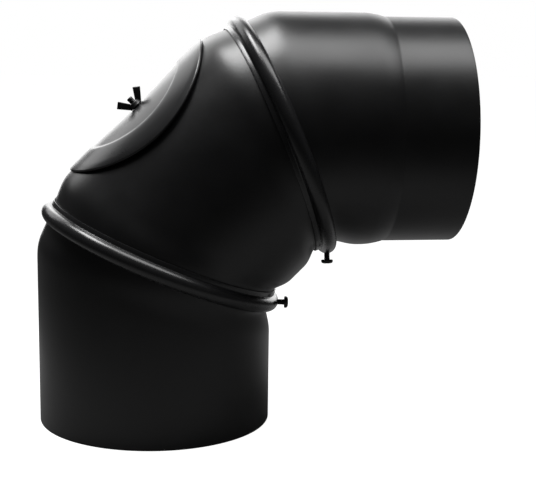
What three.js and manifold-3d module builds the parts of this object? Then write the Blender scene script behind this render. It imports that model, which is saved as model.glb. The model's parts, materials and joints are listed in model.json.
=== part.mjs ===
// Adjustable stove-pipe elbow, 150 mm nominal bore, set here at 90 degrees.
// Three steel pipe sections meet in two tilted swivel joints. At each joint both pipe ends
// carry a flange that turns inside a rolled ring, and a small screw locks the setting.
// The middle section has a cleaning hatch, held by a wing nut, a bolt and an inner clamp bar.
// Millimetres, +Z up. The bend lies in the XZ plane with the upper end pointing along +X.
// The origin is on the ground under the middle of the elbow's overall length.
import * as THREE from 'three';
import { LoftGeometry } from 'three/addons/geometries/LoftGeometry.js';
import { mergeVertices } from 'three/addons/utils/BufferGeometryUtils.js';
import Module from 'manifold-3d';

const wasm = await Module();
wasm.setup();

// Pipe
const PIPE_R = 77; // outside radius
const WALL = 2;
const LOWER_LEG = 112; // open lower end to the first mitre point
const MID_RUN = 82; // sideways and upward distance between the two mitre points
const UPPER_LEG = 115.5; // second mitre point to the open upper end
const SPIGOT_R = 74.6; // outside radius of the reduced upper end
const TAPER_START = 54; // along the upper leg, from the second mitre point
const TAPER_END = 69; // the taper steepens up to a crease, where the spigot starts
const TAPER_STEPS = 4;

// Swivel joints
const TILT = Math.PI / 8; // joint planes lean by a quarter of the 90 degree bend
const JOINT_SHIFT = 4.5; // joint circles sit this far towards the inside of the bend
const NECK_R = 78.2; // outside radius of the round neck behind each flange
const NECK_LENGTH = 5.8; // from the joint plane, on the section that carries the ring
const MIDDLE_NECK_LENGTH = 9.2; // and on the middle section, under the ring's lip
const BLEND_INSIDE = 21; // length over which the pipe turns into the neck, inside of the bend
const BLEND_OUTSIDE = 34; // and outside of the bend
const FLANGE_R = 82;
const FLANGE_T = 1.4;
const FACE_GAP = 0.4; // between the two flanges of a joint

// Rolled rings and their lock screws
const BEAD_CENTRE_R = 79;
const BEAD_R = 5.3;
const BEAD_WALL = 1.2;
const OPEN_ANGLE = THREE.MathUtils.degToRad(95); // where the C section ends, from its outside
const LIP_T = 0.9; // flat lip that reaches over the middle section's neck
const LIP_END = 8.5; // from the joint plane
const SCREW_ANGLE = THREE.MathUtils.degToRad(-12); // round the joint, from the inside of the bend
const SCREW_R = 1.9;
const SCREW_TIP = 3.7; // distances from the centre of the bead section
const SCREW_NECK = 9.4;
const HEAD_R = 3.9;
const HEAD_T = 2.6;

// Cleaning hatch, measured from the axis of the middle section
const HATCH_ALONG = 60.5; // from the first mitre point
const COVER_R = 60;
const COVER_TOP = 78.6;
const COVER_BEND_R = 87; // a little flatter than the pipe, so the sides stand off it
const COVER_T = 0.7;
const PANEL_R = 38;
const PANEL_SINK = 1.1; // step down from the rim to the centre panel
const PANEL_DISH = 1.3; // and from there to the bolt
const STEP_WIDTH = 3;
const GASKET_INNER_R = 47;
const GASKET_OUTER_R = 58;
const GASKET_REACHES = [GASKET_INNER_R, (GASKET_INNER_R + GASKET_OUTER_R) / 2, GASKET_OUTER_R];
const GASKET_GAP = 0.15; // to the cover and to the pipe
const OPENING_LENGTH = 90; // along the pipe
const OPENING_WIDTH = 68;
const BAR_LENGTH = 82;
const BAR_WIDTH = 20;
const BAR_T = 3;
const BAR_TOP = 62.2;
const BOLT_R = 2;
const BOLT_END = 83.8;
const BOLT_HEAD_T = 2.8;
const BOLT_HEAD_R = 4;
const NUT_BASE = 76.5;
const NUT_HEIGHT = 3.6;
const NUT_BASE_R = 4.7;
const NUT_TOP_R = 3.6;
const WING_ROOT = new THREE.Vector2(3, 1.6); // middle of the wing's root, from the nut's base
const WING_LENGTH = 9.4;
const WING_WIDTH = 5;
const WING_T = 1.8;
const WING_ROUNDING = 0.7;
const WING_FLARE = THREE.MathUtils.degToRad(37); // from the bolt axis
const HOLE_CLEARANCE = 0.3;

// Fineness of the round shapes
const ROUND = 60;
const SMALL_ROUND = 20;
const COVER_ROUND = 48;
const BLEND_STEPS = 4;

const Y_AXIS = new THREE.Vector3(0, 1, 0);
const Z_AXIS = new THREE.Vector3(0, 0, 1);

// ---- general helpers -------------------------------------------------------------------

function toSolid(geometry, matrix = new THREE.Matrix4()) {
  const bare = new THREE.BufferGeometry().copy(geometry).applyMatrix4(matrix);
  bare.deleteAttribute('normal');
  bare.deleteAttribute('uv');
  const merged = mergeVertices(bare, 1e-3);
  return new wasm.Manifold(
    new wasm.Mesh({
      numProp: 3,
      vertProperties: merged.attributes.position.array,
      triVerts: new Uint32Array(merged.index.array),
    }),
  );
}

function toGeometry(solid) {
  const mesh = solid.getMesh();
  const geometry = new THREE.BufferGeometry();
  geometry.setAttribute('position', new THREE.BufferAttribute(mesh.vertProperties, 3));
  geometry.setIndex(new THREE.BufferAttribute(mesh.triVerts, 1));
  geometry.computeVertexNormals();
  return geometry;
}

// One closed skin through rings of points that run round a wall and back to the first ring.
function closedLoft(rings) {
  return new LoftGeometry([...rings, rings[0]]);
}

function ringOf(count, pointAt) {
  return Array.from({ length: count }, (_, i) => pointAt((i / count) * 2 * Math.PI));
}

// A rod or cone frustum that stands along +Z from z = bottom to z = top.
function rod(bottomR, topR, bottom, top, sides = SMALL_ROUND) {
  const geometry = new THREE.CylinderGeometry(topR, bottomR, top - bottom, sides);
  geometry.rotateX(Math.PI / 2);
  geometry.translate(0, 0, (top + bottom) / 2);
  return geometry;
}

function blackPaint(color, roughness) {
  return new THREE.MeshStandardMaterial({ color, roughness, metalness: 0.0 });
}

function named(name, geometry, material) {
  const mesh = new THREE.Mesh(geometry, material);
  mesh.name = name;
  return mesh;
}

const pipePaint = () => blackPaint(0x1d1d1e, 0.45);
const ringPaint = () => blackPaint(0x1f2021, 0.32);
const coverPaint = () => blackPaint(0x1f2021, 0.38);
const fittingPaint = () => blackPaint(0x101011, 0.5);
const gasketFibre = () => blackPaint(0x161616, 0.95);
const barSteel = () => new THREE.MeshStandardMaterial({ color: 0x6f7173, roughness: 0.5, metalness: 0.9 });

// ---- where the joints are --------------------------------------------------------------

const halfLength = (PIPE_R + MID_RUN + UPPER_LEG) / 2;
const mitre1 = new THREE.Vector3(PIPE_R - halfLength, 0, LOWER_LEG);
const mitre2 = new THREE.Vector3(MID_RUN, 0, MID_RUN).add(mitre1);
const middleAxis = new THREE.Vector3(1, 0, 1).normalize();
const middleInside = new THREE.Vector3(1, 0, -1).normalize();

// A pipe end's own frame: +Z runs along the pipe out to the joint and +X points to the
// inside of the bend. +Y is the same for every end, so the rings of both ends line up.
function endFrame(mitre, axis, inside) {
  return new THREE.Matrix4().makeBasis(inside, Y_AXIS, axis).setPosition(mitre);
}

const lowerEnd = endFrame(mitre1, Z_AXIS, new THREE.Vector3(1, 0, 0));
const middleLowerEnd = endFrame(mitre1, middleAxis.clone().negate(), middleInside);
const middleUpperEnd = endFrame(mitre2, middleAxis, middleInside);
const upperEnd = endFrame(mitre2, new THREE.Vector3(-1, 0, 0), new THREE.Vector3(0, 0, -1));

// The joint circle in an end's frame: its centre, its normal and its direction to the inside.
const jointCentre = new THREE.Vector3(JOINT_SHIFT, 0, -JOINT_SHIFT * Math.tan(TILT));
const jointNormal = new THREE.Vector3(Math.sin(TILT), 0, Math.cos(TILT));
const jointInside = new THREE.Vector3(Math.cos(TILT), 0, -Math.sin(TILT));

// ---- pipe sections ---------------------------------------------------------------------

function onPipe(angle, radius, z) {
  return new THREE.Vector3(radius * Math.cos(angle), radius * Math.sin(angle), z);
}

function onNeck(angle, radius, offset) {
  return jointCentre
    .clone()
    .addScaledVector(jointInside, radius * Math.cos(angle))
    .addScaledVector(Y_AXIS, radius * Math.sin(angle))
    .addScaledVector(jointNormal, offset);
}

// The smooth shoulder from the straight pipe to the round neck, at one angle round the pipe.
function shoulder(angle, pipeR, neckR, neckLength) {
  const outside = (1 - Math.cos(angle)) / 2;
  const length = THREE.MathUtils.lerp(BLEND_INSIDE, BLEND_OUTSIDE, outside);
  const start = onPipe(angle, pipeR, -PIPE_R * Math.cos(angle) * Math.tan(TILT) - length);
  const end = onNeck(angle, neckR, -neckLength);
  const chord = start.distanceTo(end);
  const startPull = start.clone().addScaledVector(Z_AXIS, 0.45 * chord);
  const endPull = end
    .clone()
    .addScaledVector(jointNormal, -chord * THREE.MathUtils.lerp(0.12, 0.45, outside));
  return new THREE.CubicBezierCurve3(start, startPull, endPull, end);
}

function shoulderRings(pipeR, neckR, neckLength) {
  return Array.from({ length: BLEND_STEPS + 1 }, (_, i) =>
    ringOf(ROUND, (angle) => shoulder(angle, pipeR, neckR, neckLength).getPoint(i / BLEND_STEPS)),
  );
}

// Rings from the straight pipe out to the flange, on the outer and on the inner skin.
function swivelEnd(frame, neckLength) {
  const face = -FACE_GAP / 2;
  const neckRing = (radius, offset) => ringOf(ROUND, (angle) => onNeck(angle, radius, offset));
  const outer = [
    ...shoulderRings(PIPE_R, NECK_R, neckLength),
    neckRing(NECK_R, face - FLANGE_T),
    neckRing(FLANGE_R, face - FLANGE_T),
    neckRing(FLANGE_R, face),
  ];
  const inner = [
    ...shoulderRings(PIPE_R - WALL, NECK_R - WALL, neckLength),
    neckRing(NECK_R - WALL, face),
  ];
  const place = (rings) => rings.map((ring) => ring.map((p) => p.applyMatrix4(frame)));
  return { outer: place(outer), inner: place(inner) };
}

function pipeRing(frame, radius, z) {
  return ringOf(ROUND, (angle) => onPipe(angle, radius, z).applyMatrix4(frame));
}

function lowerSection() {
  const end = swivelEnd(lowerEnd, NECK_LENGTH);
  const rings = [
    pipeRing(lowerEnd, PIPE_R, -LOWER_LEG),
    ...end.outer,
    ...end.inner.reverse(),
    pipeRing(lowerEnd, PIPE_R - WALL, -LOWER_LEG),
  ];
  return named('lower_section', closedLoft(rings), pipePaint());
}

function upperSection() {
  const end = swivelEnd(upperEnd, NECK_LENGTH);
  // Outside radius along the leg, from the open end back to the full pipe.
  const taper = Array.from({ length: TAPER_STEPS + 1 }, (_, i) => {
    const share = 1 - i / TAPER_STEPS;
    const at = THREE.MathUtils.lerp(TAPER_START, TAPER_END, share);
    return [at, PIPE_R - (PIPE_R - SPIGOT_R) * share ** 2];
  });
  const steps = [[UPPER_LEG, SPIGOT_R - 0.5], [UPPER_LEG - 1.5, SPIGOT_R], ...taper];
  const skin = (inset) => steps.map(([x, r]) => pipeRing(upperEnd, r - inset, -x));
  const rings = [...skin(0), ...end.outer, ...end.inner.reverse(), ...skin(WALL).reverse()];
  rings.forEach((ring) => ring.reverse());
  return named('upper_section', closedLoft(rings), pipePaint());
}

// ---- cleaning hatch --------------------------------------------------------------------

// The hatch group stands on the middle pipe's axis: +Z points out through the hatch and
// +X runs up along the pipe.
const hatch = new THREE.Group();
hatch.position.copy(mitre1).addScaledVector(middleAxis, HATCH_ALONG);
hatch.quaternion.setFromRotationMatrix(
  new THREE.Matrix4().makeBasis(middleAxis, Y_AXIS, middleInside.clone().negate()),
);
hatch.updateMatrixWorld(true);

function openingTool() {
  const outline = new THREE.Shape();
  outline.absellipse(0, 0, OPENING_LENGTH / 2, OPENING_WIDTH / 2, 0, 2 * Math.PI);
  const depth = 2 * WALL + PIPE_R / 2;
  const tool = new THREE.ExtrudeGeometry(outline, { depth, bevelEnabled: false, curveSegments: 48 });
  tool.translate(0, 0, PIPE_R + WALL - depth);
  return tool;
}

function middleSection() {
  const low = swivelEnd(middleLowerEnd, MIDDLE_NECK_LENGTH);
  const high = swivelEnd(middleUpperEnd, MIDDLE_NECK_LENGTH);
  const rings = [...low.outer.reverse(), ...high.outer, ...high.inner.reverse(), ...low.inner];
  const tube = toSolid(closedLoft(rings));
  const opened = tube.subtract(toSolid(openingTool(), hatch.matrixWorld));
  return named('middle_section', toGeometry(opened), pipePaint());
}

// A point of a pressed disc after it is bent: reach from its centre, drop below its rim.
function onCover(angle, reach, drop) {
  const turn = (reach * Math.sin(angle)) / COVER_BEND_R;
  const radius = COVER_BEND_R - drop;
  const height = COVER_TOP - COVER_BEND_R + radius * Math.cos(turn);
  return new THREE.Vector3(reach * Math.cos(angle), radius * Math.sin(turn), height);
}

// The point of a disc that lies on the pipe under that of the cover.
function underCover(angle, reach, gap) {
  const point = onCover(angle, reach, COVER_T);
  point.z = Math.sqrt((PIPE_R + gap) ** 2 - point.y ** 2);
  return point;
}

function discRing(pointAt) {
  return ringOf(COVER_ROUND, pointAt).reverse();
}

function hatchCover() {
  const hole = BOLT_R + HOLE_CLEARANCE;
  const dishRing = (share) => [hole + (PANEL_R - hole) * share, PANEL_SINK + PANEL_DISH * (1 - share)];
  const top = [
    dishRing(0),
    dishRing(1 / 3),
    dishRing(2 / 3),
    dishRing(1),
    [PANEL_R + STEP_WIDTH / 2, PANEL_SINK / 2],
    [PANEL_R + STEP_WIDTH, 0],
    ...GASKET_REACHES.map((reach) => [reach, 0]),
    [COVER_R, 0],
  ];
  const bottom = top.map(([reach, drop]) => [reach, drop + COVER_T]).reverse();
  const rings = [...top, ...bottom].map(([reach, drop]) =>
    discRing((angle) => onCover(angle, reach, drop)),
  );
  return named('hatch_cover', closedLoft(rings), coverPaint());
}

// The soft gasket fills the space between the cover and the pipe: it is pressed thin where
// the cover lies closest and stays thick at its sides.
function hatchGasket() {
  const top = GASKET_REACHES.map((reach) =>
    discRing((angle) => onCover(angle, reach, COVER_T + GASKET_GAP)),
  );
  const bottom = GASKET_REACHES.map((reach) => discRing((angle) => underCover(angle, reach, GASKET_GAP)));
  return named('hatch_gasket', closedLoft([...top, ...bottom.reverse()]), gasketFibre());
}

function clampBar() {
  const halfWidth = BAR_WIDTH / 2;
  const straight = BAR_LENGTH / 2 - halfWidth;
  const outline = new THREE.Shape();
  outline.absarc(0, straight, halfWidth, 0, Math.PI);
  outline.absarc(0, -straight, halfWidth, Math.PI, 2 * Math.PI);
  const hole = new THREE.Path();
  hole.absarc(0, 0, BOLT_R + HOLE_CLEARANCE, 0, 2 * Math.PI, true);
  outline.holes.push(hole);
  const bar = new THREE.ExtrudeGeometry(outline, { depth: BAR_T, bevelEnabled: false, curveSegments: 16 });
  bar.translate(0, 0, BAR_TOP - BAR_T);
  return named('clamp_bar', bar, barSteel());
}

function clampBolt() {
  const headTop = BAR_TOP - BAR_T - HOLE_CLEARANCE;
  const chamfer = 0.5;
  const shank = toSolid(rod(BOLT_R, BOLT_R, headTop - 1, BOLT_END - chamfer));
  const point = toSolid(rod(BOLT_R, BOLT_R - chamfer, BOLT_END - chamfer - 0.01, BOLT_END));
  const head = toSolid(rod(BOLT_HEAD_R, BOLT_HEAD_R, headTop - BOLT_HEAD_T, headTop, 6));
  return named('clamp_bolt', toGeometry(head.add(shank).add(point)), fittingPaint());
}

// One wing: a flat bar with rounded corners that flares from the hub.
function wingOutline() {
  const half = WING_WIDTH / 2;
  const blade = new THREE.Shape();
  blade.moveTo(-half, 0);
  blade.lineTo(half, 0);
  blade.lineTo(half, WING_LENGTH - WING_ROUNDING);
  blade.quadraticCurveTo(half, WING_LENGTH, half - WING_ROUNDING, WING_LENGTH);
  blade.lineTo(WING_ROUNDING - half, WING_LENGTH);
  blade.quadraticCurveTo(-half, WING_LENGTH, -half, WING_LENGTH - WING_ROUNDING);
  blade.closePath();
  return blade;
}

function wingNut() {
  const bore = toSolid(rod(BOLT_R + HOLE_CLEARANCE, BOLT_R + HOLE_CLEARANCE, -1, NUT_HEIGHT + 1));
  const wing = new THREE.ExtrudeGeometry(wingOutline(), {
    depth: WING_T,
    bevelEnabled: false,
    curveSegments: 4,
  });
  wing.translate(0, 0, -WING_T / 2);
  wing.rotateZ(-WING_FLARE);
  wing.translate(WING_ROOT.x, WING_ROOT.y, 0);
  wing.rotateX(Math.PI / 2);
  const otherWing = wing.clone().rotateZ(Math.PI);
  let nut = toSolid(rod(NUT_BASE_R, NUT_TOP_R, 0, NUT_HEIGHT));
  nut = nut.add(toSolid(wing)).add(toSolid(otherWing)).subtract(bore);
  const mesh = named('wing_nut', toGeometry(nut), fittingPaint());
  mesh.position.z = NUT_BASE;
  return mesh;
}

// ---- swivel rings and lock screws ------------------------------------------------------

// The frame of a lock screw: its origin is the centre of the bead's section and its +Z
// leaves square to the pipe that carries the ring.
function screwFrame(frame) {
  const origin = onNeck(SCREW_ANGLE, BEAD_CENTRE_R, 0);
  const out = new THREE.Vector3(origin.x, origin.y, 0).normalize();
  origin.applyMatrix4(frame);
  out.transformDirection(frame);
  const turn = new THREE.Quaternion().setFromUnitVectors(Z_AXIS, out);
  return new THREE.Matrix4().compose(origin, turn, new THREE.Vector3(1, 1, 1));
}

// The C-shaped section of a ring, open towards the pipe, with a flat lip on its
// middle-section side. It is revolved about the joint axis.
function ringProfile() {
  const arc = (radius, from, to, steps) =>
    Array.from({ length: steps + 1 }, (_, i) => {
      const a = THREE.MathUtils.lerp(from, to, i / steps);
      return new THREE.Vector2(BEAD_CENTRE_R + radius * Math.cos(a), radius * Math.sin(a));
    });
  const lipInnerR = BEAD_CENTRE_R + BEAD_R * Math.cos(OPEN_ANGLE);
  const lipStart = Math.acos((lipInnerR + LIP_T - BEAD_CENTRE_R) / BEAD_R);
  const outer = arc(BEAD_R, -OPEN_ANGLE, lipStart, 9);
  const lip = [
    new THREE.Vector2(lipInnerR + LIP_T, LIP_END),
    new THREE.Vector2(lipInnerR, LIP_END),
  ];
  const inner = arc(BEAD_R - BEAD_WALL, OPEN_ANGLE, -OPEN_ANGLE, 5);
  return [...outer, ...lip, ...inner, outer[0]];
}

function swivelRing(name, frame) {
  const ring = new THREE.LatheGeometry(ringProfile(), ROUND);
  const normal = jointNormal.clone().transformDirection(frame);
  const centre = jointCentre.clone().applyMatrix4(frame);
  const inside = jointInside.clone().transformDirection(frame);
  const side = new THREE.Vector3().crossVectors(normal, inside);
  const place = new THREE.Matrix4().makeBasis(side, normal, inside).setPosition(centre);
  const hole = rod(SCREW_R + HOLE_CLEARANCE, SCREW_R + HOLE_CLEARANCE, 0, BEAD_R + 3);
  const drilled = toSolid(ring, place).subtract(toSolid(hole, screwFrame(frame)));
  return named(name, toGeometry(drilled), ringPaint());
}

function lockScrew(name, frame) {
  const headTop = SCREW_NECK + HEAD_T;
  const profile = [
    [0, SCREW_TIP],
    [SCREW_R - 0.5, SCREW_TIP],
    [SCREW_R, SCREW_TIP + 0.5],
    [SCREW_R, SCREW_NECK],
    [HEAD_R, SCREW_NECK],
    [HEAD_R, SCREW_NECK + HEAD_T * 0.45],
    [HEAD_R * 0.85, headTop - HEAD_T * 0.15],
    [HEAD_R * 0.5, headTop],
    [0, headTop],
  ];
  const body = new THREE.LatheGeometry(profile.map(([r, z]) => new THREE.Vector2(r, z)), SMALL_ROUND);
  body.rotateX(Math.PI / 2);
  const slotWidth = 1;
  const slotDepth = 1.4;
  const slot = new THREE.BoxGeometry(slotWidth, HEAD_R * 1.2, slotDepth);
  slot.translate(0, 0, headTop + 0.1 - slotDepth / 2);
  const crossSlot = slot.clone().rotateZ(Math.PI / 2);
  const screw = toSolid(body).subtract(toSolid(slot)).subtract(toSolid(crossSlot));
  const mesh = named(name, toGeometry(screw), fittingPaint());
  mesh.applyMatrix4(screwFrame(frame));
  return mesh;
}

// ---- the assembly ----------------------------------------------------------------------

const elbow = new THREE.Group();
elbow.name = 'flue_elbow';
elbow.add(lowerSection(), middleSection(), upperSection());
elbow.add(swivelRing('lower_swivel_ring', lowerEnd), swivelRing('upper_swivel_ring', upperEnd));
elbow.add(lockScrew('lower_lock_screw', lowerEnd), lockScrew('upper_lock_screw', upperEnd));
hatch.add(hatchCover(), hatchGasket(), clampBar(), clampBolt(), wingNut());
elbow.add(hatch);

export default elbow;
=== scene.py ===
# Looks for an adjustable stove-pipe elbow, 150 mm nominal bore, set at 90 degrees: three
# painted steel pipe sections, two rolled swivel rings with lock screws, and a cleaning hatch.
# Metres, +Z up. The bend lies in the XZ plane. The pieces take their places from the joints
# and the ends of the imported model.
import json
import math

import bpy
from mathutils import Matrix, Vector


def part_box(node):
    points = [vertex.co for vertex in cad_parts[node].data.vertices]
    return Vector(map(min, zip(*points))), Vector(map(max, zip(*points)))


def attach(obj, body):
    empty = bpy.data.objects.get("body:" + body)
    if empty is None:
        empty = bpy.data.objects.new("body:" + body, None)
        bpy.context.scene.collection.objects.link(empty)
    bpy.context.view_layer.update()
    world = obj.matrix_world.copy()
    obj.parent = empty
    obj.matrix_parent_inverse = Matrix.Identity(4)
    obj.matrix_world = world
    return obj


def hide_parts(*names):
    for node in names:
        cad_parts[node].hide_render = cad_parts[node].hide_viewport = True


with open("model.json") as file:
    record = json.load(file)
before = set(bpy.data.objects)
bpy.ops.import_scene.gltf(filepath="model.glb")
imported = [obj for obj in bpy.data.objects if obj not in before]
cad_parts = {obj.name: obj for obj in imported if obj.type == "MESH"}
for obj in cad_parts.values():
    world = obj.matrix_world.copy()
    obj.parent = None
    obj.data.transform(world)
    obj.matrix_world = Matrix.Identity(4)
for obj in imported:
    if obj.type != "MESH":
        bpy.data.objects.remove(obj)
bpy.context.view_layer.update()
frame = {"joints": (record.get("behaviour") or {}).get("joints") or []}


# ---- Pipe sections ---------------------------------------------------------------------
# Three lengths of 2 mm steel pipe, cut on the slant and spun out to a round neck at each
# swivel joint, with a small flange that turns inside the ring. Sprayed with matt black
# stove paint, outside and inside.
MM = 0.001
PIPE_R = 77 * MM
WALL = 2 * MM
TILT = math.radians(22.5)
JOINT_SHIFT = 4.5 * MM
NECK_R = 78.2 * MM
RING_NECK = 5.8 * MM
LIP_NECK = 9.2 * MM
BLEND_INSIDE = 21 * MM
BLEND_OUTSIDE = 34 * MM
FLANGE_R = 81.7 * MM
FLANGE_BACK = 2.2 * MM
EDGE_ROUND = 0.35 * MM
PIPE_SIDES = 160
SHOULDER_STEPS = 16
# How far the two ends of a shoulder's curve keep their own direction, as shares of its length.
PIPE_PULL = 0.45
NECK_PULL_INSIDE = 0.12
NECK_PULL_OUTSIDE = 0.45
# The patterns of the paint: width of a spraying pass, of its dry dust and of its orange peel.
SPRAY_PASS = 40 * MM
SPRAY_DUST = 0.5 * MM
SPRAY_PEEL = 2.2 * MM

UP = Vector((0, 0, 1))
EAST = Vector((1, 0, 0))
ACROSS = Vector((0, 1, 0))
SLOPE = Vector((1, 0, 1)).normalized()
SLOPE_INSIDE = Vector((1, 0, -1)).normalized()
JOINTS = {joint["name"]: joint for joint in frame["joints"]}


def joint_place(name):
    """Where a joint sits and which way its axis points."""
    return Vector(JOINTS[name]["pos_m"]), Vector(JOINTS[name]["axis"]).normalized()


def srgb(code):
    """A #rrggbb paint colour as the linear colour that a shader takes."""
    parts = [int(code[i : i + 2], 16) / 255 for i in (1, 3, 5)]
    return [p / 12.92 if p <= 0.04045 else ((p + 0.055) / 1.055) ** 2.4 for p in parts] + [1.0]


def add_node(tree, kind, settings=None, inputs=None):
    """Adds a shader node. A setting is the node's own choice, an input is a value or a link."""
    made = tree.nodes.new(kind)
    for name, value in (settings or {}).items():
        setattr(made, name, value)
    for name, value in (inputs or {}).items():
        if isinstance(value, bpy.types.NodeSocket):
            tree.links.new(value, made.inputs[name])
        else:
            made.inputs[name].default_value = value
    return made


def sprayed_paint(name, dark, light, roughness, spread, peel, grain):
    """Sprayed stove paint: a soft mottle from overlapping passes, a fine dry grain and a
    slight orange peel. The grain is drawn at 0.5 mm, as coarse as it needs to show."""
    material = bpy.data.materials.new(name)
    material.use_nodes = True
    tree = material.node_tree
    tree.nodes.clear()
    place = add_node(tree, "ShaderNodeTexCoord").outputs["Object"]
    passes = add_node(tree, "ShaderNodeTexNoise", inputs={
        "Vector": place, "Scale": 1 / SPRAY_PASS, "Detail": 3.0, "Roughness": 0.55})
    dust = add_node(tree, "ShaderNodeTexNoise", inputs={
        "Vector": place, "Scale": 1 / SPRAY_DUST, "Detail": 2.0, "Roughness": 0.6})
    skin = add_node(tree, "ShaderNodeTexNoise", inputs={
        "Vector": place, "Scale": 1 / SPRAY_PEEL, "Detail": 2.0, "Roughness": 0.5})
    blend = add_node(tree, "ShaderNodeMath", {"operation": "MULTIPLY_ADD"}, {
        0: dust.outputs["Fac"], 1: 0.45, 2: passes.outputs["Fac"]})
    shade = add_node(tree, "ShaderNodeMapRange", inputs={
        "Value": blend.outputs[0], "From Min": 0.5, "From Max": 0.95})
    colour = add_node(tree, "ShaderNodeMix", {"data_type": "RGBA"}, {
        0: shade.outputs[0], 6: srgb(dark), 7: srgb(light)})
    gloss = add_node(tree, "ShaderNodeMapRange", inputs={
        "Value": blend.outputs[0], "From Min": 0.45, "From Max": 1.0,
        "To Min": roughness - spread, "To Max": roughness + spread})
    low = add_node(tree, "ShaderNodeBump", inputs={
        "Height": skin.outputs["Fac"], "Distance": peel, "Strength": 1.0})
    high = add_node(tree, "ShaderNodeBump", inputs={
        "Height": dust.outputs["Fac"], "Distance": grain, "Strength": 1.0,
        "Normal": low.outputs["Normal"]})
    surface = add_node(tree, "ShaderNodeBsdfPrincipled", inputs={
        "Base Color": colour.outputs[2], "Roughness": gloss.outputs[0],
        "Normal": high.outputs["Normal"], "IOR": 1.5})
    add_node(tree, "ShaderNodeOutputMaterial", inputs={"Surface": surface.outputs["BSDF"]})
    return material


pipe_paint = sprayed_paint(
    "matt_black_stove_paint", "#0d0d0e", "#151516",
    roughness=0.36, spread=0.04, peel=0.02 * MM, grain=0.008 * MM)


def clean_start():
    """Leaves nothing selected, so that an operator takes only the new piece."""
    if bpy.context.object and bpy.context.object.mode != "OBJECT":
        bpy.ops.object.mode_set(mode="OBJECT")
    bpy.ops.object.select_all(action="DESELECT")


def pick(piece):
    """Selects one finished piece alone, in object mode."""
    clean_start()
    piece.select_set(True)
    bpy.context.view_layer.objects.active = piece


def apply_modifier(piece, kind, **settings):
    """Adds a modifier with its settings and applies it straight away."""
    pick(piece)
    modifier = piece.modifiers.new(kind.lower(), kind)
    for name, value in settings.items():
        setattr(modifier, name, value)
    bpy.ops.object.modifier_apply(modifier=modifier.name)


def round_edges(piece, width, segments, sharper_than):
    """Takes the sharpness off the edges that turn by more than an angle in degrees."""
    apply_modifier(piece, "BEVEL", width=width, segments=segments, limit_method="ANGLE",
                   angle_limit=math.radians(sharper_than))


def settle(piece, name, smooth=40):
    """Names a piece, puts its place into its mesh and shades it smooth up to an angle."""
    piece.name = name
    piece.data.name = name
    pick(piece)
    bpy.ops.object.transform_apply(location=True, rotation=True, scale=True)
    bpy.ops.object.shade_smooth_by_angle(angle=math.radians(smooth))


def finish_piece(piece, body, slot, material, *nodes):
    """Paints a piece, lets it ride on its body and stand for its plain nodes."""
    piece.data.materials.clear()
    piece.data.materials.append(material)
    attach(piece, body)
    if nodes:
        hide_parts(*nodes)


def turn(angle, about):
    """Turns what is selected round the Y direction, nose down for a positive angle."""
    bpy.ops.transform.rotate(value=-angle, orient_axis="Y", center_override=about)


def face_out(piece):
    """Turns a skin's faces outwards, so that its wall is added on the inner side."""
    middle = sum((f.center for f in piece.data.polygons), Vector()) / len(piece.data.polygons)
    outward = sum(f.normal.dot(f.center - middle) * f.area for f in piece.data.polygons)
    if outward < 0:
        bpy.ops.object.mode_set(mode="EDIT")
        bpy.ops.mesh.select_all(action="SELECT")
        bpy.ops.mesh.flip_normals()
        bpy.ops.object.mode_set(mode="OBJECT")


def tube_through(rings):
    """A pipe skin drawn out ring by ring. A ring is its outside point, its inside point
    in the plane of the bend, and its half width across that plane."""
    clean_start()
    bpy.ops.mesh.primitive_circle_add(vertices=PIPE_SIDES, radius=1.0)
    piece = bpy.context.object
    bpy.ops.object.mode_set(mode="EDIT")
    centre, half, width, tilt = Vector((0, 0, 0)), 1.0, 1.0, 0.0
    for number, (outside, inside, new_width) in enumerate(rings):
        reach = inside - outside
        new_centre = (inside + outside) / 2
        new_half = reach.length / 2
        new_tilt = math.atan2(-reach.z, reach.x)
        if number:
            bpy.ops.mesh.extrude_region_move()
        turn(-tilt, centre)
        bpy.ops.transform.resize(
            value=(new_half / half, new_width / width, 1), center_override=centre)
        bpy.ops.transform.translate(value=new_centre - centre)
        turn(new_tilt, new_centre)
        centre, half, width, tilt = new_centre, new_half, new_width, new_tilt
    bpy.ops.object.mode_set(mode="OBJECT")
    face_out(piece)
    return piece


def bezier(points, share):
    """A point on a cubic curve."""
    a, b, c, d = points
    rest = 1 - share
    return a * rest**3 + b * 3 * share * rest**2 + c * 3 * share**2 * rest + d * share**3


def swivel_end(mitre, along, inside, neck):
    """Rings from the straight pipe over the shoulder and the round neck to the flange."""
    centre = mitre + (inside - along * math.tan(TILT)) * JOINT_SHIFT
    normal = inside * math.sin(TILT) + along * math.cos(TILT)
    across = inside * math.cos(TILT) - along * math.sin(TILT)

    def edge(side):
        """The shoulder's curve on the inside of the bend (1) or on its outside (-1)."""
        length = BLEND_INSIDE if side > 0 else BLEND_OUTSIDE
        pull = NECK_PULL_INSIDE if side > 0 else NECK_PULL_OUTSIDE
        start = mitre + inside * side * PIPE_R - along * (side * PIPE_R * math.tan(TILT) + length)
        end = centre + across * side * NECK_R - normal * neck
        chord = (end - start).length
        return start, start + along * PIPE_PULL * chord, end - normal * pull * chord, end

    rings = []
    for step in range(SHOULDER_STEPS + 1):
        share = step / SHOULDER_STEPS
        width = PIPE_R + (NECK_R - PIPE_R) * share * share * (3 - 2 * share)
        rings.append((bezier(edge(-1), share), bezier(edge(1), share), width))
    for radius, back in ((NECK_R, FLANGE_BACK), (FLANGE_R, FLANGE_BACK)):
        at = centre - normal * back
        rings.append((at - across * radius, at + across * radius, radius))
    return rings


def straight_ring(mitre, along, inside, radius, distance):
    """A square-cut ring of the straight pipe, at a distance back from the mitre point."""
    at = mitre - along * distance
    return at - inside * radius, at + inside * radius, radius


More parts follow.
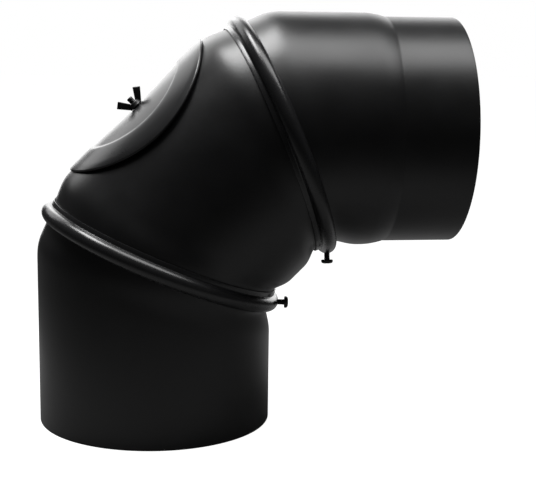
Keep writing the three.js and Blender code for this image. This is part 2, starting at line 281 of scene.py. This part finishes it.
def pipe_from(rings):
    """Draws a skin, gives it its wall inwards and takes the sharpness off its edges."""
    piece = tube_through(rings)
    apply_modifier(piece, "SOLIDIFY", thickness=WALL, offset=-1, use_even_offset=True)
    round_edges(piece, EDGE_ROUND, 2, 60)
    return piece


lower_joint, lower_normal = joint_place("lower_swivel")
upper_joint, upper_normal = joint_place("upper_swivel")
lower_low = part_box("lower_section")[0]
upper_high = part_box("upper_section")[1]

lower_mitre = lower_joint - (EAST - UP * math.tan(TILT)) * JOINT_SHIFT
upper_mitre = upper_joint - (-UP + EAST * math.tan(TILT)) * JOINT_SHIFT

# Lower section: a plain open pipe that stands on its square-cut end.
LOWER_LEG_SHARES = (1.0, 0.985, 0.8, 0.65)
lower_leg = lower_mitre.z - lower_low.z
lower_rings = [straight_ring(lower_mitre, UP, EAST, PIPE_R, lower_leg * share)
               for share in LOWER_LEG_SHARES]
lower_pipe = pipe_from(lower_rings + swivel_end(lower_mitre, UP, EAST, RING_NECK))
settle(lower_pipe, "lower_pipe")
finish_piece(lower_pipe, "lower", "pipe_paint", pipe_paint, "lower_section")

# Middle section: a short slanting pipe between the joints, with the oval opening that the
# hatch closes.
HATCH_OPENING = (90 * MM, 68 * MM)
CUTTER_LENGTH = 30 * MM
hatch_point, hatch_out = joint_place("clamp_bar_turn")
middle_pipe = pipe_from(
    list(reversed(swivel_end(lower_mitre, -SLOPE, SLOPE_INSIDE, LIP_NECK)))
    + swivel_end(upper_mitre, SLOPE, SLOPE_INSIDE, LIP_NECK))
clean_start()
bpy.ops.mesh.primitive_cylinder_add(vertices=96, radius=0.5, depth=CUTTER_LENGTH)
oval = bpy.context.object
hatch_frame = Matrix((ACROSS, hatch_out, SLOPE)).transposed().to_4x4()
hatch_frame.translation = lower_mitre + SLOPE * (hatch_point - lower_mitre).dot(SLOPE)
oval.matrix_world = (hatch_frame @ Matrix.Translation((0, PIPE_R, 0))
                     @ Matrix.Rotation(math.radians(90), 4, "X")
                     @ Matrix.Diagonal((HATCH_OPENING[1], HATCH_OPENING[0], 1, 1)))
bpy.context.view_layer.update()
apply_modifier(middle_pipe, "BOOLEAN", object=oval, operation="DIFFERENCE", solver="EXACT")
bpy.data.objects.remove(oval)
settle(middle_pipe, "middle_pipe")
finish_piece(middle_pipe, "middle", "pipe_paint", pipe_paint, "middle_section")

# Upper section: the long leg, drawn in to a spigot by a taper that steepens to a crease.
TAPER_START = 54 * MM
TAPER_END = 69 * MM
SPIGOT_R = 74.6 * MM
SPIGOT_BANDS = (96 * MM, 84 * MM, 77 * MM)
END_BAND = 2 * MM
CREASE = 0.5 * MM
TAPER_STEP = 1.2 * MM
TAPER_RINGS = 12
upper_leg = upper_high.x - upper_mitre.x


def spigot_profile(distance):
    """Radius of the upper leg at a distance from its mitre point."""
    if distance <= TAPER_START:
        return PIPE_R
    share = min(1, (distance - TAPER_START) / (TAPER_END - TAPER_START))
    return PIPE_R - (PIPE_R - SPIGOT_R) * share * share


leg_steps = [upper_leg, upper_leg - END_BAND, *SPIGOT_BANDS, TAPER_END + CREASE]
leg_steps += [TAPER_END - TAPER_STEP * step for step in range(TAPER_RINGS)]
upper_rings = [straight_ring(upper_mitre, -EAST, -UP, spigot_profile(d), d) for d in leg_steps]
upper_pipe = pipe_from(upper_rings + swivel_end(upper_mitre, -EAST, -UP, RING_NECK))
settle(upper_pipe, "upper_pipe")
finish_piece(upper_pipe, "upper", "pipe_paint", pipe_paint, "upper_section")


# ---- Swivel rings ----------------------------------------------------------------------
# Each joint is held by a ring rolled from 0.8 mm steel strip to an open C, closed over both
# flanges, with a flat lip over the middle section's neck, and drilled for its screw. The
# rolled strip is smooth, so its paint has more sheen than the pipe's. It also looks lighter
# because its paint colour is drawn lighter than the pipe's, as painted highlight.
BEAD_CENTRE_R = 78.96 * MM
BEAD_R = 5.3 * MM
STRIP = 0.8 * MM
RING_INSIDE_R = 79.4 * MM
SCREW_HOLE_R = 2.2 * MM
DRILL_DEPTH = 9 * MM
LIP_EDGE_REACH = 0.3 * MM
STRIP_EDGE = 0.15 * MM
RING_SIDES = 192
BEAD_SIDES = 48
LIP = ((79.42 * MM, 5.55 * MM), (79.4 * MM, 6.2 * MM), (79.4 * MM, 8.5 * MM))

# The colours, lighter than the pipe's paint, are painted highlight; the lower roughness is the
# strip's real sheen.
ring_paint = sprayed_paint(
    "satin_black_stove_paint", "#19191a", "#222223",
    roughness=0.27, spread=0.03, peel=0.012 * MM, grain=0.003 * MM)


def select_where(piece, kind, test):
    """Selects the faces, edges or vertices of a piece in edit mode that pass a test."""
    bpy.ops.mesh.select_all(action="DESELECT")
    bpy.ops.object.mode_set(mode="OBJECT")
    for part in getattr(piece.data, kind):
        part.select = bool(test(part))
    bpy.ops.object.mode_set(mode="EDIT")


def stand_on(place, axis):
    """The frame of a turned piece: it stands at a place with +Z along an axis."""
    return Matrix.Translation(place) @ UP.rotation_difference(axis).to_matrix().to_4x4()


def cut_with(piece, tool, operation="DIFFERENCE"):
    """Cuts a tool out of a piece, or joins it on, and takes the tool away."""
    apply_modifier(piece, "BOOLEAN", object=tool, operation=operation, solver="EXACT")
    bpy.data.objects.remove(tool)


def swivel_ring(name, body, centre, normal, node, screw_joint):
    """A ring rolled round its joint and drilled for its screw. Its lip points along the normal."""
    clean_start()
    bpy.ops.mesh.primitive_torus_add(
        major_segments=RING_SIDES, minor_segments=BEAD_SIDES,
        major_radius=BEAD_CENTRE_R, minor_radius=BEAD_R)
    ring = bpy.context.object
    bpy.ops.object.mode_set(mode="EDIT")
    bpy.ops.mesh.select_mode(type="FACE")
    select_where(ring, "polygons", lambda f: math.hypot(f.center.x, f.center.y) < RING_INSIDE_R)
    bpy.ops.mesh.delete(type="FACE")
    bpy.ops.mesh.select_mode(type="VERT")
    select_where(ring, "vertices", lambda v: v.co.z > 0 and (
        math.hypot(v.co.x, v.co.y) < RING_INSIDE_R + LIP_EDGE_REACH))
    edge = next(v.co.copy() for v in ring.data.vertices if v.select)
    radius, height = math.hypot(edge.x, edge.y), edge.z
    for new_radius, new_height in LIP:
        bpy.ops.mesh.extrude_region_move(
            TRANSFORM_OT_translate={"value": (0, 0, new_height - height)})
        share = new_radius / radius
        bpy.ops.transform.resize(value=(share, share, 1), center_override=(0, 0, 0))
        radius, height = new_radius, new_height
    bpy.ops.object.mode_set(mode="OBJECT")
    apply_modifier(ring, "SOLIDIFY", thickness=STRIP, offset=-1, use_even_offset=True)
    round_edges(ring, STRIP_EDGE, 2, 50)
    ring.matrix_world = stand_on(centre, normal)
    clean_start()
    bpy.ops.mesh.primitive_cylinder_add(
        vertices=48, radius=SCREW_HOLE_R, depth=DRILL_DEPTH, location=(0, 0, DRILL_DEPTH / 2))
    drill = bpy.context.object
    bpy.ops.object.transform_apply(location=True, rotation=True, scale=True)
    drill.matrix_world = stand_on(*joint_place(screw_joint))
    bpy.context.view_layer.update()
    cut_with(ring, drill)
    settle(ring, name)
    finish_piece(ring, body, "ring_paint", ring_paint, node)


swivel_ring("lower_ring", "lower", lower_joint, lower_normal, "lower_swivel_ring",
            "lower_lock_screw_turn")
swivel_ring("upper_ring", "upper", upper_joint, -upper_normal, "upper_swivel_ring",
            "upper_lock_screw_turn")


# ---- Lock screws -----------------------------------------------------------------------
# An M4 pan-head screw with a cross recess goes through each ring and bears on the flange
# under it. Turned steel, blackened chemically: nearly black, with an oily half-gloss.
SCREW_R = 1.9 * MM
SCREW_TIP = 3.7 * MM
# A tip's points, from the end inwards: how far inside the shank and how far back, in mm.
SCREW_POINT = ((0.6, 0.0), (0.2, 0.4))
SCREW_NECK = 9.4 * MM
HEAD_R = 3.9 * MM
HEAD_T = 2.6 * MM
HEAD_EDGE = 0.25 * MM
# The domed head, in shares of its radius and of its thickness.
HEAD_DOME = ((1.0, 0.4), (0.97, 0.62), (0.87, 0.82), (0.7, 0.94), (0.4, 1.0), (0.0, 1.0))
CROSS_LENGTH = 4.2 * MM
CROSS_WIDTH = 0.95 * MM
CROSS_TOOL = 1.5 * MM
CROSS_CENTRE = 0.35 * MM
PITCH = 0.7 * MM
# One turn of a thread: how deep it cuts and how far along it is, in shares of its pitch.
THREAD_SHAPE = ((0.0, 0.1), (0.35, 0.5), (0.0, 0.9))
MERGE_REACH = 0.002 * MM
OXIDE_PATCH = 3 * MM
TOOL_MARK = 0.3 * MM


def blackened_steel(name, dark, light, roughness):
    """Chemically blackened steel: a thin dark oxide, uneven at 3 mm, with fine tool marks."""
    material = bpy.data.materials.new(name)
    material.use_nodes = True
    tree = material.node_tree
    tree.nodes.clear()
    place = add_node(tree, "ShaderNodeTexCoord").outputs["Object"]
    patches = add_node(tree, "ShaderNodeTexNoise", inputs={
        "Vector": place, "Scale": 1 / OXIDE_PATCH, "Detail": 3.0, "Roughness": 0.6})
    marks = add_node(tree, "ShaderNodeTexNoise", inputs={
        "Vector": place, "Scale": 1 / TOOL_MARK, "Detail": 1.0, "Roughness": 0.5})
    colour = add_node(tree, "ShaderNodeMix", {"data_type": "RGBA"}, {
        0: patches.outputs["Fac"], 6: srgb(dark), 7: srgb(light)})
    gloss = add_node(tree, "ShaderNodeMapRange", inputs={
        "Value": patches.outputs["Fac"], "From Min": 0.3, "From Max": 0.7,
        "To Min": roughness - 0.06, "To Max": roughness + 0.06})
    relief = add_node(tree, "ShaderNodeBump", inputs={
        "Height": marks.outputs["Fac"], "Distance": 0.006 * MM})
    surface = add_node(tree, "ShaderNodeBsdfPrincipled", inputs={
        "Base Color": colour.outputs[2], "Roughness": gloss.outputs[0],
        "Normal": relief.outputs["Normal"], "IOR": 1.5})
    add_node(tree, "ShaderNodeOutputMaterial", inputs={"Surface": surface.outputs["BSDF"]})
    return material


black_oxide = blackened_steel("blackened_steel", "#0b0b0c", "#151516", 0.42)


def turned(profile, steps):
    """A piece turned on a lathe about +Z. The profile runs from axis to axis, radius first,
    and is drawn out point by point before it is spun."""
    clean_start()
    bpy.ops.mesh.primitive_plane_add(size=MM)
    piece = bpy.context.object
    bpy.ops.object.mode_set(mode="EDIT")
    bpy.ops.mesh.select_mode(type="VERT")
    bpy.ops.mesh.select_all(action="SELECT")
    bpy.ops.mesh.merge(type="CENTER")
    last = (0.0, 0.0)
    for number, (radius, height) in enumerate(profile):
        move = (radius - last[0], 0, height - last[1])
        if number:
            bpy.ops.mesh.extrude_region_move(TRANSFORM_OT_translate={"value": move})
        else:
            bpy.ops.transform.translate(value=move)
        last = (radius, height)
    bpy.ops.mesh.select_all(action="SELECT")
    bpy.ops.mesh.spin(steps=steps, angle=math.radians(360), center=(0, 0, 0), axis=(0, 0, 1))
    bpy.ops.mesh.select_all(action="SELECT")
    bpy.ops.mesh.remove_doubles(threshold=MERGE_REACH)
    bpy.ops.mesh.normals_make_consistent(inside=False)
    bpy.ops.object.mode_set(mode="OBJECT")
    return piece


def thread(radius, start, end):
    """The zigzag of a cut thread along a shank, as profile points."""
    points = []
    turns = int((end - start) / PITCH)
    for number in range(turns):
        at = start + number * PITCH
        points += [(radius - deep * PITCH, at + along * PITCH) for deep, along in THREAD_SHAPE]
    return points


def block(size, centre):
    """A plain block, as stock for a cutter or a blade."""
    clean_start()
    bpy.ops.mesh.primitive_cube_add(size=1, location=centre, scale=size)
    made = bpy.context.object
    bpy.ops.object.transform_apply(location=True, rotation=True, scale=True)
    return made


def lock_screw(name, joint, body, node):
    """A screw turned with its head and thread, its cross cut in, set on its joint's axis."""
    profile = [(0, SCREW_TIP)]
    profile += [(SCREW_R - inside * MM, SCREW_TIP + back * MM) for inside, back in SCREW_POINT]
    profile += thread(SCREW_R, SCREW_TIP + 0.5 * MM, SCREW_NECK - 0.4 * MM)
    profile += [(SCREW_R - 0.1 * MM, SCREW_NECK), (HEAD_R - HEAD_EDGE, SCREW_NECK),
                (HEAD_R, SCREW_NECK + HEAD_EDGE)]
    profile += [(out * HEAD_R, SCREW_NECK + up * HEAD_T) for out, up in HEAD_DOME]
    screw = turned(profile, 48)
    for across, along in ((CROSS_WIDTH, CROSS_LENGTH), (CROSS_LENGTH, CROSS_WIDTH)):
        tool = block((across, along, CROSS_TOOL), (0, 0, SCREW_NECK + HEAD_T - CROSS_CENTRE))
        cut_with(screw, tool)
    screw.matrix_world = stand_on(*joint_place(joint))
    settle(screw, name, smooth=35)
    finish_piece(screw, body, "fitting_paint", black_oxide, node)


lock_screw("lower_screw", "lower_lock_screw_turn", "lower_screw", "lower_lock_screw")
lock_screw("upper_screw", "upper_lock_screw_turn", "upper_screw", "upper_lock_screw")


# ---- Hatch cover -----------------------------------------------------------------------
# A round cover pressed from 0.7 mm sheet and rolled a little flatter than the pipe, with a
# sunk, slightly dished centre panel and a turned-down rim. It lies over the opening on a
# soft fibre gasket and is painted like the pipe, but its paint colour is drawn lighter than
# the pipe's, as painted reflection of the bright light that the cover faces.
COVER_TOP = 78.6 * MM
COVER_BEND_R = 87 * MM
COVER_SHEET = 0.7 * MM
# The cover from its rim inwards: radius and height of each ring, in millimetres.
COVER_SHAPE = (
    (60.0, -1.3), (60.0, -0.8), (59.9, -0.4), (59.6, -0.12), (59.1, 0.0), (54.0, 0.0), (49.0, 0.0),
    (44.5, 0.0), (42.2, 0.0), (41.2, -0.04), (40.4, -0.18), (39.7, -0.44), (39.0, -0.73),
    (38.3, -0.97), (37.5, -1.1), (36.4, -1.15), (30.0, -1.35), (23.0, -1.62), (16.0, -1.9),
    (9.0, -2.16), (5.0, -2.3), (2.4, -2.4))

# The colours, lighter than the pipe's paint, are painted reflection; the cover's paint is the
# pipe's.
cover_paint = sprayed_paint(
    "semi_matt_black_stove_paint", "#141415", "#1d1d1e",
    roughness=0.3, spread=0.03, peel=0.014 * MM, grain=0.004 * MM)


def pressed_disc(shape, sheet):
    """A disc pressed ring by ring from its rim inwards, given its thickness downwards, stood
    up and rolled to the curve of the pipe. Radius and height of each ring in millimetres."""
    clean_start()
    bpy.ops.mesh.primitive_circle_add(vertices=144, radius=shape[0][0] * MM)
    piece = bpy.context.object
    bpy.ops.object.mode_set(mode="EDIT")
    bpy.ops.transform.translate(value=(0, 0, shape[0][1] * MM))
    for (old_r, old_h), (new_r, new_h) in zip(shape, shape[1:]):
        bpy.ops.mesh.extrude_region_move(
            TRANSFORM_OT_translate={"value": (0, 0, (new_h - old_h) * MM)})
        bpy.ops.transform.resize(value=(new_r / old_r, new_r / old_r, 1), center_override=(0, 0, 0))
    bpy.ops.object.mode_set(mode="OBJECT")
    if sum(f.normal.z * f.area for f in piece.data.polygons) < 0:
        bpy.ops.object.mode_set(mode="EDIT")
        bpy.ops.mesh.select_all(action="SELECT")
        bpy.ops.mesh.flip_normals()
        bpy.ops.object.mode_set(mode="OBJECT")
    apply_modifier(piece, "SOLIDIFY", thickness=sheet, offset=-1, use_even_offset=True)
    piece.rotation_euler.x = math.radians(-90)
    bpy.ops.object.transform_apply(location=True, rotation=True, scale=True)
    sides = [v.co.x for v in piece.data.vertices]
    apply_modifier(piece, "SIMPLE_DEFORM", deform_method="BEND", deform_axis="Z",
                   angle=-(max(sides) - min(sides)) / COVER_BEND_R)
    piece.matrix_world = hatch_frame @ Matrix.Translation((0, COVER_TOP, 0))
    return piece


hatch_cover = pressed_disc(COVER_SHAPE, COVER_SHEET)
settle(hatch_cover, "hatch_lid", smooth=50)
finish_piece(hatch_cover, "cover", "cover_paint", cover_paint, "hatch_cover")


# ---- Gasket ----------------------------------------------------------------------------
# A soft ring of black glass-fibre tape, woven at about 1.5 mm, that comes off with the cover.
# It is pressed thin where the cover lies closest to the pipe and stays thick at its sides.
GASKET_SHAPE = ((58.0, -0.87), (55.0, -0.87), (52.5, -0.87), (50.0, -0.87), (47.0, -0.87))
GASKET_FREE = 6.5 * MM
GASKET_GAP = 0.15 * MM
WEAVE_PITCH = 1.5 * MM
HAIR = 0.4 * MM
# The length of one band of the wave texture at a scale of 1.
BAND_LENGTH = 0.314


def woven_fibre(name, dark, light):
    """Black woven glass tape: crossing threads with loose hairs, quite without gloss."""
    material = bpy.data.materials.new(name)
    material.use_nodes = True
    tree = material.node_tree
    tree.nodes.clear()
    place = add_node(tree, "ShaderNodeTexCoord").outputs["Object"]
    waves = []
    for direction in ("X", "Y"):
        waves.append(add_node(tree, "ShaderNodeTexWave", {
            "wave_type": "BANDS", "bands_direction": direction}, {
            "Vector": place, "Scale": BAND_LENGTH / WEAVE_PITCH, "Distortion": 1.0}))
    weave = add_node(tree, "ShaderNodeMath", {"operation": "MULTIPLY"}, {
        0: waves[0].outputs["Fac"], 1: waves[1].outputs["Fac"]})
    hairs = add_node(tree, "ShaderNodeTexNoise", inputs={
        "Vector": place, "Scale": 1 / HAIR, "Detail": 3.0})
    height = add_node(tree, "ShaderNodeMath", {"operation": "MULTIPLY_ADD"}, {
        0: hairs.outputs["Fac"], 1: 0.4, 2: weave.outputs[0]})
    colour = add_node(tree, "ShaderNodeMix", {"data_type": "RGBA"}, {
        0: height.outputs[0], 6: srgb(dark), 7: srgb(light)})
    relief = add_node(tree, "ShaderNodeBump", inputs={
        "Height": height.outputs[0], "Distance": 0.25 * MM})
    surface = add_node(tree, "ShaderNodeBsdfPrincipled", inputs={
        "Base Color": colour.outputs[2], "Roughness": 0.95, "Normal": relief.outputs["Normal"],
        "Sheen Weight": 0.2})
    add_node(tree, "ShaderNodeOutputMaterial", inputs={"Surface": surface.outputs["BSDF"]})
    return material


gasket = pressed_disc(GASKET_SHAPE, GASKET_FREE)
clean_start()
bpy.ops.mesh.primitive_cylinder_add(vertices=256, radius=PIPE_R + GASKET_GAP, depth=2 * PIPE_R)
pipe_under = bpy.context.object
pipe_under.matrix_world = hatch_frame
bpy.context.view_layer.update()
cut_with(gasket, pipe_under)
settle(gasket, "gasket_ring", smooth=50)
finish_piece(gasket, "cover", "gasket_fibre",
             woven_fibre("woven_glass_fibre", "#0d0d0d", "#242424"), "hatch_gasket")


# ---- Clamp bar and bolt ----------------------------------------------------------------
# A flat bar inside the pipe spans the opening, and its bolt comes out through the cover.
# Zinc-plated strip, bluish grey with a soft cloudy bloom, and a blackened bolt.
BAR = (82 * MM, 3 * MM, 20 * MM)
BAR_TOP = 62.2 * MM
BAR_CORNER = 9.8 * MM
BAR_EDGE = 0.4 * MM
BAR_DRILL = 12 * MM
BOLT_R = 2 * MM
BOLT_END = 83.8 * MM
BOLT_PLAY = 0.3 * MM
BOLT_STUB = 1 * MM
BOLT_POINT = ((0.1, 0.5), (0.5, 0.05), (0.6, 0.0))
HEX_R = 4 * MM
HEX_T = 2.8 * MM
HEX_EDGE = 0.3 * MM
ZINC_BLOOM = 6 * MM
ROLL_MARK = 0.5 * MM


def zinc_plate(name):
    """Bright zinc on rolled strip: a cloudy, uneven shine over fine rolling marks."""
    material = bpy.data.materials.new(name)
    material.use_nodes = True
    tree = material.node_tree
    tree.nodes.clear()
    place = add_node(tree, "ShaderNodeTexCoord").outputs["Object"]
    bloom = add_node(tree, "ShaderNodeTexNoise", inputs={
        "Vector": place, "Scale": 1 / ZINC_BLOOM, "Detail": 4.0, "Roughness": 0.65})
    rolled = add_node(tree, "ShaderNodeTexNoise", inputs={
        "Vector": place, "Scale": 1 / ROLL_MARK, "Detail": 2.0})
    colour = add_node(tree, "ShaderNodeMix", {"data_type": "RGBA"}, {
        0: bloom.outputs["Fac"], 6: srgb("#7d8083"), 7: srgb("#a9acae")})
    gloss = add_node(tree, "ShaderNodeMapRange", inputs={
        "Value": bloom.outputs["Fac"], "From Min": 0.3, "From Max": 0.7,
        "To Min": 0.36, "To Max": 0.52})
    relief = add_node(tree, "ShaderNodeBump", inputs={
        "Height": rolled.outputs["Fac"], "Distance": 0.01 * MM})
    surface = add_node(tree, "ShaderNodeBsdfPrincipled", inputs={
        "Base Color": colour.outputs[2], "Metallic": 1.0, "Roughness": gloss.outputs[0],
        "Normal": relief.outputs["Normal"]})
    add_node(tree, "ShaderNodeOutputMaterial", inputs={"Surface": surface.outputs["BSDF"]})
    return material


bar = block(BAR, (0, BAR_TOP - BAR[1] / 2, 0))
pick(bar)
bpy.ops.object.mode_set(mode="EDIT")
bpy.ops.mesh.select_mode(type="EDGE")
select_where(bar, "edges", lambda e: abs(
    bar.data.vertices[e.vertices[0]].co.y - bar.data.vertices[e.vertices[1]].co.y) > BAR[1] / 2)
bpy.ops.mesh.bevel(offset=BAR_CORNER, segments=14, profile=0.5)
bpy.ops.object.mode_set(mode="OBJECT")
clean_start()
bpy.ops.mesh.primitive_cylinder_add(
    vertices=48, radius=BOLT_R + BOLT_PLAY, depth=BAR_DRILL, location=(0, BAR_TOP, 0),
    rotation=(math.radians(90), 0, 0))
cut_with(bar, bpy.context.object)
round_edges(bar, BAR_EDGE, 3, 60)
bar.matrix_world = hatch_frame
settle(bar, "clamp_strip", smooth=35)
finish_piece(bar, "clamp", "bar_steel", zinc_plate("zinc_plated_steel"), "clamp_bar")

head_top = BAR_TOP - BAR[1] - BOLT_PLAY
bolt_profile = [(0, head_top - BOLT_STUB), (BOLT_R - 0.2 * MM, head_top - BOLT_STUB)]
bolt_profile += thread(BOLT_R, head_top - 0.8 * MM, BOLT_END - 0.6 * MM)
bolt_profile += [(BOLT_R - inside * MM, BOLT_END - back * MM) for inside, back in BOLT_POINT]
bolt_profile += [(0, BOLT_END)]
bolt = turned(bolt_profile, 40)
clean_start()
bpy.ops.mesh.primitive_cylinder_add(
    vertices=6, radius=HEX_R, depth=HEX_T, location=(0, 0, head_top - HEX_T / 2))
hexagon = bpy.context.object
round_edges(hexagon, HEX_EDGE, 2, 50)
bolt.select_set(True)
bpy.context.view_layer.objects.active = bolt
bpy.ops.object.join()
bolt.matrix_world = hatch_frame @ Matrix.Rotation(math.radians(-90), 4, "X")
settle(bolt, "clamp_stud", smooth=35)
finish_piece(bolt, "clamp", "fitting_paint", black_oxide, "clamp_bolt")


# ---- Wing nut --------------------------------------------------------------------------
# A pressed hub with two flat wings that flare from it, here in the plane of the bend. It is
# blackened like the bolt that it is screwed on, and pulls the cover down on its gasket.
NUT_BASE = 76.5 * MM
NUT_BORE_R = 2.35 * MM
# The hub's outline: radius and height in millimetres.
HUB = ((2.3, 0.4), (2.7, 0.0), (4.5, 0.0), (4.75, 0.3), (4.75, 0.9), (4.3, 1.3), (3.9, 2.6),
       (3.6, 3.3), (3.2, 3.6), (2.7, 3.6), (2.3, 3.3), (2.3, 0.4))
WING_SIZE = (1.8 * MM, 9.4 * MM, 5 * MM)
WING_ROOT = (1.6 * MM, 3 * MM)
WING_TAPER = 0.78
WING_EDGE = 0.5 * MM
WING_FLARE = math.radians(37)

nut = turned([(r * MM, h * MM) for r, h in HUB], 48)
nut.rotation_euler.x = math.radians(-90)
bpy.ops.object.transform_apply(location=True, rotation=True, scale=True)
for side in (-1, 1):
    wing = block(WING_SIZE, (0, WING_SIZE[1] / 2, 0))
    bpy.ops.object.mode_set(mode="EDIT")
    bpy.ops.mesh.select_mode(type="VERT")
    select_where(wing, "vertices", lambda v: v.co.y < WING_SIZE[1] / 2)
    bpy.ops.transform.resize(value=(1, 1, WING_TAPER), center_override=(0, 0, 0))
    bpy.ops.object.mode_set(mode="OBJECT")
    round_edges(wing, WING_EDGE, 3, 60)
    wing.matrix_world = (Matrix.Translation((0, WING_ROOT[0], side * WING_ROOT[1]))
                         @ Matrix.Rotation(side * WING_FLARE, 4, "X"))
    pick(wing)
    bpy.ops.object.transform_apply(location=True, rotation=True, scale=True)
    cut_with(nut, wing, "UNION")
clean_start()
bpy.ops.mesh.primitive_cylinder_add(
    vertices=64, radius=NUT_BORE_R, depth=CUTTER_LENGTH, rotation=(math.radians(90), 0, 0))
cut_with(nut, bpy.context.object)
nut.matrix_world = hatch_frame @ Matrix.Translation((0, NUT_BASE, 0))
settle(nut, "wing_nut_pressed", smooth=35)
finish_piece(nut, "nut", "fitting_paint", black_oxide, "wing_nut")


# ---- Studio ----------------------------------------------------------------------------
# A white floor, two soft boxes overhead, of which the left one is much the brighter, and two
# white cards behind. The rest of the room is nearly dark, and the camera sees it white.
FLOOR_SIZE = 12
# A painted pool of light on the floor: its colour is pale round the object and darker from here to
# there outwards.
FLOOR_PALE_TO = 0.2
FLOOR_DARK_FROM = 0.5
FLOOR_PALE = 0.2
FLOOR_DARK = 0.05
ROOM_GLOW = 0.04


def studio_floor():
    """A floor that the camera sees white and that throws little light back at the pipes."""
    clean_start()
    bpy.ops.mesh.primitive_plane_add(size=FLOOR_SIZE)
    floor = bpy.context.object
    floor.name = "studio_floor"
    material = bpy.data.materials.new("white_studio_floor")
    material.use_nodes = True
    tree = material.node_tree
    tree.nodes.clear()
    seen = add_node(tree, "ShaderNodeLightPath").outputs["Is Camera Ray"]
    place = add_node(tree, "ShaderNodeTexCoord").outputs["Object"]
    far = add_node(tree, "ShaderNodeVectorMath", {"operation": "LENGTH"}, {0: place})
    # The floor's colour is a painted pool of light: pale round the object and darker outwards.
    shade = add_node(tree, "ShaderNodeMapRange", {"interpolation_type": "SMOOTHSTEP"}, {
        "Value": far.outputs["Value"], "From Min": FLOOR_PALE_TO, "From Max": FLOOR_DARK_FROM,
        "To Min": FLOOR_PALE, "To Max": FLOOR_DARK})
    paper = add_node(tree, "ShaderNodeBsdfDiffuse", inputs={"Color": shade.outputs[0]})
    lit = add_node(tree, "ShaderNodeEmission", inputs={"Strength": seen})
    both = add_node(tree, "ShaderNodeAddShader", inputs={
        0: paper.outputs[0], 1: lit.outputs[0]})
    add_node(tree, "ShaderNodeOutputMaterial", inputs={"Surface": both.outputs[0]})
    floor.data.materials.append(material)


studio_floor()

world = bpy.data.worlds.new("studio_room")
bpy.context.scene.world = world
world.use_nodes = True
room = world.node_tree
room.nodes.clear()
seen = add_node(room, "ShaderNodeLightPath").outputs["Is Camera Ray"]
level = add_node(room, "ShaderNodeMapRange", inputs={
    "Value": seen, "To Min": ROOM_GLOW, "To Max": 1.0})
sky = add_node(room, "ShaderNodeBackground", inputs={
    "Color": (1, 1, 1, 1), "Strength": level.outputs[0]})
add_node(room, "ShaderNodeOutputWorld", inputs={"Surface": sky.outputs[0]})


def soft_box(name, place, target, width, length, glow):
    """A soft box of even glow, which the camera does not see."""
    light = bpy.data.lights.new(name, "AREA")
    light.shape = "RECTANGLE"
    light.size = width
    light.size_y = length
    light.energy = glow * math.pi * width * length
    lamp = bpy.data.objects.new(name, light)
    bpy.context.scene.collection.objects.link(lamp)
    lamp.location = place
    lamp.rotation_euler = (Vector(target) - Vector(place)).to_track_quat("-Z", "Y").to_euler()
    lamp.visible_camera = False


soft_box("overhead_left", (-0.5, 0.32, 1.75), (-0.5, 0.32, 0),
         width=0.6, length=0.9, glow=17.0)
soft_box("overhead_right", (0.5, -0.15, 1.75), (0.5, -0.15, 0),
         width=1.4, length=0.9, glow=5.5)
soft_box("card_behind", (0.3, 1.1, 0.5), (0.3, 0, 0.5),
         width=1.4, length=1.0, glow=2.6)
soft_box("card_back_left", (-0.62, 1.15, 0.95), (-0.06, 0, 0.2),
         width=1.1, length=0.75, glow=1.9)

CAMERA_PLACE = Vector((-0.09767, -0.8068, 0.2591))
CAMERA_PAN = math.radians(-8.026)
CAMERA_DOWN = math.radians(10.292)
CAMERA_ROLL = math.radians(0.776)
CAMERA_LENS = 82.32
CAMERA_SENSOR = 36
CAMERA_REACH = 50
camera_data = bpy.data.cameras.new("camera")
camera_data.lens = CAMERA_LENS
camera_data.sensor_width = CAMERA_SENSOR
camera_data.clip_end = CAMERA_REACH
camera = bpy.data.objects.new("camera", camera_data)
bpy.context.scene.collection.objects.link(camera)
camera.matrix_world = (
    Matrix.Translation(CAMERA_PLACE)
    @ Matrix.Rotation(CAMERA_PAN, 4, "Z")
    @ Matrix.Rotation(math.radians(90) - CAMERA_DOWN, 4, "X")
    @ Matrix.Rotation(CAMERA_ROLL, 4, "Z"))
bpy.context.scene.camera = camera
bpy.context.scene.view_settings.view_transform = "Standard"

bpy.context.view_layer.update()
